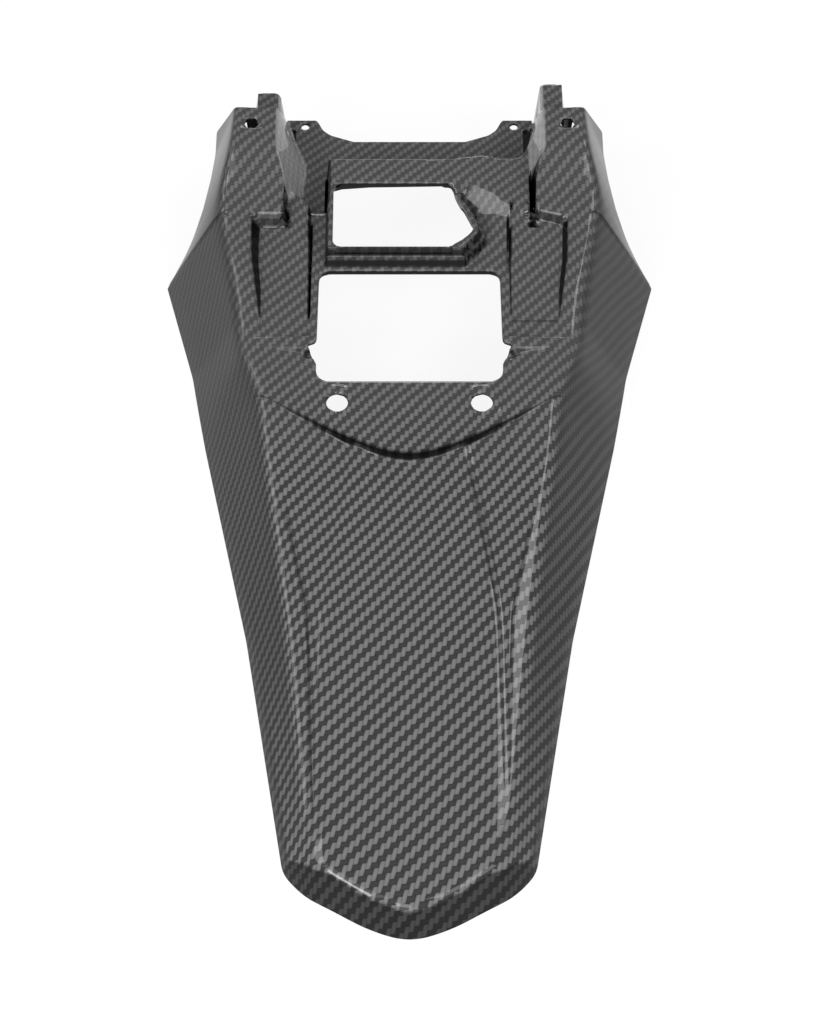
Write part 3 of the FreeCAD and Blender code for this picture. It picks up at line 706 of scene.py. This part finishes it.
def bent_grid():
    """Places of the grid: columns follow the creases, rows bend round the V step and the nose.

    The rows' bend depends on the columns' places and the other way round, so both are repeated
    until they settle.
    """
    stations = grid_rows()[:, None]
    step_share = np.interp(stations, (-103, -30, -26, 12), (0.0, 1.0, 1.0, 0.0))
    nose_share = np.interp(stations, (-253, -252, -190), (1.0, 1.0, 0.0))
    y = np.repeat(stations, 1 + sum(count for _, count in COLUMNS), axis=1)
    for _ in range(6):
        half = grid_columns(y)
        step_shift = step_share * (step_line(half) - STEP_APEX_Y)
        y = stations + step_shift + nose_share * (np.interp(half, *NOSE_OUTLINE) - TIP_Y)
    x = np.concatenate([-half[:, :0:-1], half], axis=1)
    return x, np.concatenate([y[:, :0:-1], y], axis=1)


def snap_to_edges(x, y):
    """Moves the grid points nearest to the skin's edges onto them, along the margin's gradient.

    Returns the places and each point's state: 1 on the skin, 0 on its edge, -1 off it.
    """
    reach = 0.01
    margin = skin_margin(x, y)
    marked = np.zeros(x.shape, bool)
    for axis in (0, 1):
        first = [slice(None), slice(None)]
        second = [slice(None), slice(None)]
        first[axis] = slice(None, -1)
        second[axis] = slice(1, None)
        first = tuple(first)
        second = tuple(second)
        crosses = (margin[first] > 0) != (margin[second] > 0)
        closer = np.abs(margin[first]) <= np.abs(margin[second])
        marked[first] |= crosses & closer
        marked[second] |= crosses & ~closer
    px = x[marked]
    py = y[marked]
    for _ in range(6):
        grade_x = (skin_margin(px + reach, py) - skin_margin(px - reach, py)) / (2 * reach)
        grade_y = (skin_margin(px, py + reach) - skin_margin(px, py - reach)) / (2 * reach)
        square = np.maximum(grade_x * grade_x + grade_y * grade_y, 1e-4)
        stride = np.clip(skin_margin(px, py) / square, -1.0, 1.0)
        px = px - stride * grade_x
        py = py - stride * grade_y
    x = x.copy()
    y = y.copy()
    x[marked] = px
    y[marked] = py
    state = np.where(margin > 0, 1, -1)
    state[marked] = 0
    return x, y, state


def kept_faces(x, y, state):
    """Quads and triangles of the grid that lie on the skin, counter-clockwise from above."""
    rows, columns = x.shape
    index = np.arange(rows * columns).reshape(rows, columns)
    ring = [index[:-1, :-1], index[:-1, 1:], index[1:, 1:], index[1:, :-1]]
    quads = np.stack(ring, axis=-1).reshape(-1, 4)
    states = state.ravel()[quads]
    centre = skin_margin(x.ravel()[quads].mean(1), y.ravel()[quads].mean(1))
    off = (states < 0).any(1)
    on = (states > 0).any(1)
    whole = quads[~off & (on | (centre > 0))]
    mixed = quads[off & on]
    mixed_states = states[off & on]
    halves = []
    for corner in range(4):
        chosen = mixed_states[:, corner] > 0
        halves.append(mixed[chosen][:, [(corner - 1) % 4, corner, (corner + 1) % 4]])
    return whole, np.concatenate(halves)


def open_edges(face_arrays):
    """Directed edges that belong to one face only: the edges of the skin."""
    edges = []
    for faces in face_arrays:
        edges.append(np.stack([faces, np.roll(faces, -1, axis=1)], axis=-1).reshape(-1, 2))
    edges = np.concatenate(edges)
    _, first, counts = np.unique(np.sort(edges, axis=1), axis=0, return_index=True, return_counts=True)
    return edges[first[counts == 1]]


def running_total(stations, rate):
    """A rate added up along the stations, by the trapezoid rule."""
    return np.concatenate([[0.0], np.cumsum(0.5 * (rate[1:] + rate[:-1]) * np.diff(stations))])


def cloth_places(x, y):
    """Places on the cloth, counted in tows: across the fender and along it.

    Across, the cloth follows the skin by arc length, down the flanks too.  Along, its tows lie
    wider apart towards the tail, and it goes on by arc length down the nose band.  A small drift
    and lean turn the twill's diagonal as it lies in the mould.
    """
    side = np.abs(x)
    crease = along(y, CREASE, 12.0)
    grade = (along(y, CREASE_Z, 12.0) - LIP_HEIGHT) / (along(y, LIP_X, 12.0) - crease)
    down_flank = crease + (side - crease) * np.hypot(1.0, grade)
    across = np.where(side > crease, down_flank, side) * np.sign(x)

    stations = np.linspace(-270.0, 190.0, 921)
    tows = TOWS_PER_MM + TOWS_GROWTH * (stations - 80.0)
    skew = 0.02 + 0.12 * np.clip((-30.0 - stations) / 150.0, 0.0, 1.0)
    total = np.interp(y, stations, running_total(stations, tows))
    drift = np.interp(y, stations, running_total(stations, skew))
    lean = np.interp(y, (-218.0, 0.0), (0.04, 0.1))
    below_edge = np.maximum(0.0, np.interp(side, *NOSE_OUTLINE) + NOSE_LEAN * NOSE_TOP - y)
    round_nose = (math.hypot(1.0, 1.0 / NOSE_LEAN) - 1.0) * below_edge * tows[0]
    return across / TOW_WIDTH - drift, total - round_nose - lean * x


def flange(x, y):
    """Extra depth of the skin at the windows' front edges, deepest at the upper window's left."""
    upper = np.clip((y - UPPER_FLANGE_Y) / 4.0, 0.0, 1.0) * np.interp(x, *UPPER_FLANGE)
    lower = np.clip((y - LOWER_FLANGE_Y) / 4.0, 0.0, 1.0) * LOWER_FLANGE
    lower = lower * (y < LOWER_FLANGE_Y + FLANGE_STRETCH)
    near = np.clip(1.5 - window_distance(x, y), 0.0, 1.0) * (np.abs(x) < FLANGE_HALF)
    return (upper + lower) * near * (y < UPPER_FLANGE_Y + FLANGE_STRETCH)


def slope(x, y):
    """Slope of the outer face, and its rise with the distance from the middle, from height differences."""
    reach = 0.3
    rise_x = (skin_height(x + reach, y, 0.0) - skin_height(x - reach, y, 0.0)) / (2 * reach)
    rise_y = (skin_height(x, y + reach, 0.0) - skin_height(x, y - reach, 0.0)) / (2 * reach)
    return np.hypot(rise_x, rise_y), rise_x * np.sign(x)


def painted_reflection(x, y):
    """1 on the uprights' inner walls, where a pale painted reflection replaces the cloth, and 0 elsewhere."""
    side = np.abs(x)
    edge, foot = upright_wall(x, y)
    within = np.clip(np.minimum(edge + 0.6 - side, side - foot + 0.9) / 0.5, 0.0, 1.0)
    return within * np.clip((y - np.where(x < 0, 117.0, 129.0)) / 2.0, 0.0, 1.0)


def painted_shade(x, y):
    """Share of painted shade, which darkens the cloth.

    It is 0 on level faces and gentle inward slopes, about 0.7 on the flanks, the nose band and the
    fold lines, and 1 on steep steps and on walls that face inwards.
    """
    grade, outward_rise = slope(x, y)
    share = np.interp(grade, (0.95, 1.3, 2.4, 3.8), (0.0, 0.63, 0.73, 1.0))
    share = np.where((outward_rise > 0.4) & (grade < 1.4), 0.0, share)
    share = np.maximum(share, np.clip((outward_rise - 1.2) / 0.3, 0.0, 1.0))
    share = np.maximum(share, 0.79 * np.clip((NOSE_Y - y) / 5.0, 0.0, 1.0) * (grade > 1.0))
    # painted shade along the tail's fold lines
    share = np.maximum(share, 0.7 * folds(x, y))
    return share * (1.0 - painted_reflection(x, y))


def face_heights(x, y):
    """Heights of the outer and the inner face, with the lugs and the rounded window edges."""
    floor = np.interp(y, *LOWER_EDGE)
    away = np.clip(window_distance(x, y), 0.0, EDGE_ROUND)
    rounding = EDGE_ROUND - np.sqrt(EDGE_ROUND ** 2 - (EDGE_ROUND - away) ** 2)
    inside_lug = lug_distance(x, y) > -0.4
    heights = []
    for inset in (0.0, WALL):
        height = skin_height(x, y, inset)
        lug_shows = inside_lug & ((y > upright_front(height)) | (height < CHANNEL + 1))
        heights.append(np.where(lug_shows, lug(x, y, inset), height))
    outer = np.maximum(heights[0] - rounding, floor)
    inner = np.maximum(heights[1], floor)
    return outer, np.minimum(inner, outer) - flange(x, y)


def skin_arrays():
    """The fender's mesh as arrays: outer face, inner face under it, and rims along all edges.

    Returns the points, the quads, the triangles, each face's material, and for the points and the
    face corners what the materials read: place on the cloth, painted reflection and painted shade.
    """
    x, y, state = snap_to_edges(*bent_grid())
    whole, halves = kept_faces(x, y, state)
    used = np.unique(np.concatenate([whole.ravel(), halves.ravel()]))
    renumber = np.full(x.size, -1)
    renumber[used] = np.arange(used.size)
    whole = renumber[whole]
    halves = renumber[halves]
    x = x.ravel()[used]
    y = y.ravel()[used]
    count = used.size

    edges = open_edges([whole, halves])
    rims = np.stack([edges[:, 0], edges[:, 0] + count, edges[:, 1] + count, edges[:, 1]], axis=-1)
    quads = np.concatenate([whole, whole[:, ::-1] + count, rims])
    triangles = np.concatenate([halves, halves[:, ::-1] + count])
    faces_of = (len(whole), len(whole), len(rims), len(halves), len(halves))
    material = np.repeat((0, 1, 0, 0, 1), faces_of)

    points = np.stack([np.tile(x, 2), np.tile(y, 2) + HOLE_LINE, np.concatenate(face_heights(x, y))], axis=-1)
    cloth = np.tile(np.stack(cloth_places(x, y), axis=-1), (2, 1))
    reflection_share = np.tile(painted_reflection(x, y), 2)
    # painted shade share of each point; the rims below get full painted shade
    steep = np.tile(painted_shade(x, y), 2)
    level_quads = quads[:2 * len(whole)]
    corner_shade = [steep[level_quads].ravel(), np.ones(rims.size), steep[triangles].ravel()]
    return points * MM, quads, triangles, material, cloth, reflection_share, np.concatenate(corner_shade)


def moulded_skin(name):
    """The fender's skin as one object, with its cloth coordinates and two material slots."""
    points, quads, triangles, material, cloth, reflection_share, steep = skin_arrays()
    corners = np.concatenate([quads.ravel(), triangles.ravel()])
    sizes = np.concatenate([np.full(len(quads), 4), np.full(len(triangles), 3)])
    starts = np.concatenate([[0], np.cumsum(sizes)[:-1]])
    mesh = bpy.data.meshes.new(name)
    mesh.vertices.add(len(points))
    mesh.vertices.foreach_set("co", points.astype(np.float32).ravel())
    mesh.loops.add(len(corners))
    mesh.loops.foreach_set("vertex_index", corners.astype(np.int32))
    mesh.polygons.add(len(sizes))
    mesh.polygons.foreach_set("loop_start", starts.astype(np.int32))
    mesh.polygons.foreach_set("material_index", material.astype(np.int32))
    cloth_map = mesh.uv_layers.new(name="cloth")
    cloth_map.data.foreach_set("uv", cloth[corners].astype(np.float32).ravel())
    # this corner attribute carries the painted shade share
    shade_corners = mesh.attributes.new("steep", "FLOAT", "CORNER")
    shade_corners.data.foreach_set("value", steep.astype(np.float32))
    reflection_points = mesh.attributes.new("reflection_share", "FLOAT", "POINT")
    reflection_points.data.foreach_set("value", reflection_share.astype(np.float32))
    mesh.update(calc_edges=True)
    mesh.validate()
    mesh.shade_smooth()
    mesh.set_sharp_from_angle(angle=math.radians(50.0))
    skin = bpy.data.objects.new(name, mesh)
    bpy.context.scene.collection.objects.link(skin)
    return skin


class Nodes:
    """Short calls that add and join shader nodes in one tree."""

    def __init__(self, tree):
        self.tree = tree

    def add(self, kind, **settings):
        node = self.tree.nodes.new(kind)
        for key, value in settings.items():
            setattr(node, key, value)
        return node

    def feed(self, socket, value):
        if isinstance(value, bpy.types.NodeSocket):
            self.tree.links.new(value, socket)
        else:
            socket.default_value = value

    def math(self, operation, *values):
        node = self.add("ShaderNodeMath", operation=operation)
        for socket, value in zip(node.inputs, values):
            self.feed(socket, value)
        return node.outputs[0]

    def mix(self, share, a, b):
        node = self.add("ShaderNodeMix", data_type="RGBA")
        self.feed(node.inputs["Factor"], share)
        self.feed(node.inputs[6], a)
        self.feed(node.inputs[7], b)
        return node.outputs[2]

    def axes(self, vector):
        node = self.add("ShaderNodeSeparateXYZ")
        self.feed(node.inputs[0], vector)
        return node.outputs


def tow_height(n, off, run):
    """Height of a tow: 1 on its crown, less a parabola across its width and one along its float."""
    across = n.math("MULTIPLY", n.math("MULTIPLY", off, off), TOW_CROWN)
    dip = n.math("MULTIPLY", n.math("POWER", n.math("ABSOLUTE", run), 2.0), FLOAT_DIP)
    return n.math("SUBTRACT", n.math("SUBTRACT", 1.0, across), dip)


def twill_weave(n, across, length):
    """Two-over-two twill: 1 where the lengthwise tow shows, and the height of the tow that shows.

    The lengthwise tow shows where the row number less the column number, modulo four, is 0 or 1.
    """
    column = n.math("FLOOR", across)
    row = n.math("FLOOR", length)
    phase = n.math("FLOORED_MODULO", n.math("SUBTRACT", row, column), 4.0)
    lengthwise = n.math("LESS_THAN", phase, 1.5)
    off_across = n.math("SUBTRACT", n.math("FRACT", across), 0.5)
    off_length = n.math("SUBTRACT", n.math("FRACT", length), 0.5)
    warp_run = n.math("SUBTRACT", n.math("FLOORED_MODULO", n.math("SUBTRACT", length, column), 4.0), 1.0)
    weft_run = n.math("SUBTRACT", n.math("FLOORED_MODULO", n.math("SUBTRACT", row, across), 4.0), 2.0)
    warp = n.math("MULTIPLY", tow_height(n, off_across, warp_run), lengthwise)
    weft = n.math("MULTIPLY", tow_height(n, off_length, weft_run), n.math("SUBTRACT", 1.0, lengthwise))
    return lengthwise, n.math("ADD", warp, weft)


def twill_group():
    """Twill cloth in resin as a node group: its colour and its height for a bump.

    The two tow tones draw together towards the front, a pale painted reflection replaces them on the
    uprights' inner walls, and painted shade darkens the colour in the weave's hollows and by the
    painted shade share.  The weave's height dies away where that share is high and under the painted
    reflection.
    """
    group = bpy.data.node_groups.new("twill_cloth", "ShaderNodeTree")
    for name in ("Across", "Along", "Forward", "Reflection share", "Painted shade"):
        group.interface.new_socket(name=name, in_out="INPUT", socket_type="NodeSocketFloat")
    for name in ("Bright", "Dark", "Reflection tone"):
        group.interface.new_socket(name=name, in_out="INPUT", socket_type="NodeSocketColor")
    group.interface.new_socket(name="Colour", in_out="OUTPUT", socket_type="NodeSocketColor")
    group.interface.new_socket(name="Height", in_out="OUTPUT", socket_type="NodeSocketFloat")
    n = Nodes(group)
    given = n.add("NodeGroupInput").outputs
    result = n.add("NodeGroupOutput").inputs

    lengthwise, height = twill_weave(n, given["Across"], given["Along"])
    contrast = n.add("ShaderNodeMapRange")
    n.feed(contrast.inputs["Value"], given["Forward"])
    contrast.inputs["From Max"].default_value = CONTRAST_FADE
    contrast.inputs["To Min"].default_value = 1.0
    contrast.inputs["To Max"].default_value = FRONT_CONTRAST
    off_middle = n.math("MULTIPLY", n.math("SUBTRACT", lengthwise, MIDDLE_TONE), contrast.outputs[0])
    tow_tone = n.mix(n.math("ADD", MIDDLE_TONE, off_middle), given["Dark"], given["Bright"])
    tone = n.mix(given["Reflection share"], tow_tone, given["Reflection tone"])

    # painted shade in the weave's hollows: the colour falls with the tow's height
    hollow_shade = n.math("ADD", 0.55, n.math("MULTIPLY", height, 0.5))
    # painted shade: the colour falls by the painted shade share
    level = n.math("SUBTRACT", 1.0, n.math("MULTIPLY", given["Painted shade"], PAINTED_SHADE_STRENGTH))
    colour = n.add("ShaderNodeVectorMath", operation="SCALE")
    n.feed(colour.inputs[0], tone)
    n.feed(colour.inputs["Scale"], n.math("MULTIPLY", hollow_shade, level))
    n.feed(result["Colour"], colour.outputs[0])
    smooth = n.math("MAXIMUM", given["Painted shade"], given["Reflection share"])
    n.feed(result["Height"], n.math("MULTIPLY", height, n.math("SUBTRACT", 1.0, smooth)))
    return group


def twill_material(name, group, bright, dark, reflection_tone, coat, roughness):
    """Twill cloth in resin with tows of two tones, under a clear coat of the given weight."""
    material = bpy.data.materials.new(name)
    material.use_nodes = True
    n = Nodes(material.node_tree)
    twill = n.add("ShaderNodeGroup", node_tree=group)
    tows = n.axes(n.add("ShaderNodeUVMap", uv_map="cloth").outputs[0])
    place = n.axes(n.add("ShaderNodeTexCoord").outputs["Object"])
    n.feed(twill.inputs["Across"], tows["X"])
    n.feed(twill.inputs["Along"], tows["Y"])
    n.feed(twill.inputs["Forward"], place["Y"])
    # share of the pale painted reflection on the uprights' inner walls
    n.feed(twill.inputs["Reflection share"], n.add("ShaderNodeAttribute", attribute_name="reflection_share").outputs["Fac"])
    # painted shade share, read from the mesh
    n.feed(twill.inputs["Painted shade"], n.add("ShaderNodeAttribute", attribute_name="steep").outputs["Fac"])
    n.feed(twill.inputs["Bright"], bright)
    n.feed(twill.inputs["Dark"], dark)
    n.feed(twill.inputs["Reflection tone"], reflection_tone)
    bump = n.add("ShaderNodeBump")
    n.feed(bump.inputs["Strength"], BUMP_STRENGTH)
    n.feed(bump.inputs["Distance"], BUMP_DISTANCE)
    n.feed(bump.inputs["Height"], twill.outputs["Height"])
    shader = material.node_tree.nodes["Principled BSDF"].inputs
    n.feed(shader["Base Color"], twill.outputs["Colour"])
    n.feed(shader["Normal"], bump.outputs[0])
    n.feed(shader["Roughness"], roughness)
    n.feed(shader["Specular IOR Level"], 0.0)
    n.feed(shader["Coat Weight"], coat)
    n.feed(shader["Coat Roughness"], COAT_ROUGHNESS)
    n.feed(shader["Coat IOR"], COAT_IOR)
    return material


def seen_white(tree, lit, white_share):
    """Camera, mirror and glass rays see plain white by the given share; all other rays see the lit shader."""
    n = Nodes(tree)
    white = n.add("ShaderNodeEmission")
    n.feed(white.inputs["Color"], WHITE)
    n.feed(white.inputs["Strength"], 1.0)
    path = n.add("ShaderNodeLightPath").outputs
    direct = n.math("MAXIMUM", path["Is Camera Ray"], path["Is Glossy Ray"])
    seen = n.math("MAXIMUM", direct, path["Is Transmission Ray"])
    mixer = n.add("ShaderNodeMixShader")
    n.feed(mixer.inputs[0], n.math("MULTIPLY", seen, white_share))
    n.feed(mixer.inputs[1], lit)
    n.feed(mixer.inputs[2], white.outputs[0])
    return mixer.outputs[0]


def surroundings(scene):
    """White surroundings that light the fender a little."""
    world = bpy.data.worlds.new("studio")
    world.use_nodes = True
    scene.world = world
    tree = world.node_tree
    tree.nodes.clear()
    n = Nodes(tree)
    lit = n.add("ShaderNodeBackground")
    n.feed(lit.inputs["Color"], WHITE)
    n.feed(lit.inputs["Strength"], WORLD_LIGHT)
    out = n.add("ShaderNodeOutputWorld")
    n.feed(out.inputs["Surface"], seen_white(tree, lit.outputs[0], 1.0))


def pale_floor(scene):
    """A plain pale floor just under the fender; it keeps the fender's shadow."""
    half = FLOOR_HALF
    corners = [(-half, -half, 0), (half, -half, 0), (half, half, 0), (-half, half, 0)]
    mesh = bpy.data.meshes.new("floor")
    mesh.from_pydata(corners, [], [(0, 1, 2, 3)])
    floor = bpy.data.objects.new("floor", mesh)
    scene.collection.objects.link(floor)
    floor.location.z = -FLOOR_DROP
    material = bpy.data.materials.new("pale_floor")
    material.use_nodes = True
    tree = material.node_tree
    n = Nodes(tree)
    shader = tree.nodes["Principled BSDF"]
    n.feed(shader.inputs["Base Color"], FLOOR_COLOUR)
    n.feed(shader.inputs["Roughness"], 0.9)
    seen = seen_white(tree, shader.outputs[0], FLOOR_WHITE)
    n.feed(tree.nodes["Material Output"].inputs["Surface"], seen)
    mesh.materials.append(material)


def softbox(scene, name, place, side, power):
    """A soft square lamp that looks at the fender; places and sides in metres, power in watts."""
    data = bpy.data.lights.new(name, "AREA")
    data.shape = "SQUARE"
    data.size = side
    data.energy = power
    lamp = bpy.data.objects.new(name, data)
    lamp.location = place
    lamp.rotation_euler = (Vector(LAMP_TARGET) - Vector(place)).to_track_quat("-Z", "Y").to_euler()
    scene.collection.objects.link(lamp)


def camera(scene):
    """The camera at the photograph's viewing angle, behind the fender and above it."""
    data = bpy.data.cameras.new("camera")
    data.sensor_width = SENSOR
    data.lens = FOCAL_PIXELS / FRAME_PIXELS * SENSOR
    viewer = bpy.data.objects.new("camera", data)
    viewer.location = (0.0, (HOLE_LINE + CAMERA_Y) * MM, CAMERA_Z * MM)
    viewer.rotation_euler = (math.radians(90.0 - CAMERA_PITCH), 0.0, 0.0)
    scene.collection.objects.link(viewer)
    scene.camera = viewer


def studio():
    """Pale floor, white surroundings, soft lamps and the camera at the photograph's angle."""
    scene = bpy.context.scene
    scene.view_settings.view_transform = "Standard"
    surroundings(scene)
    pale_floor(scene)
    for name, place, side, power in SOFTBOXES:
        softbox(scene, name, place, side, power)
    camera(scene)


skin = moulded_skin("moulded_skin")
cloth = twill_group()
skin.data.materials.append(twill_material("coated_twill", cloth, **COATED))
skin.data.materials.append(twill_material("bare_twill", cloth, **UNCOATED))
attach(skin, "root")
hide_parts("rear_fender")
studio()
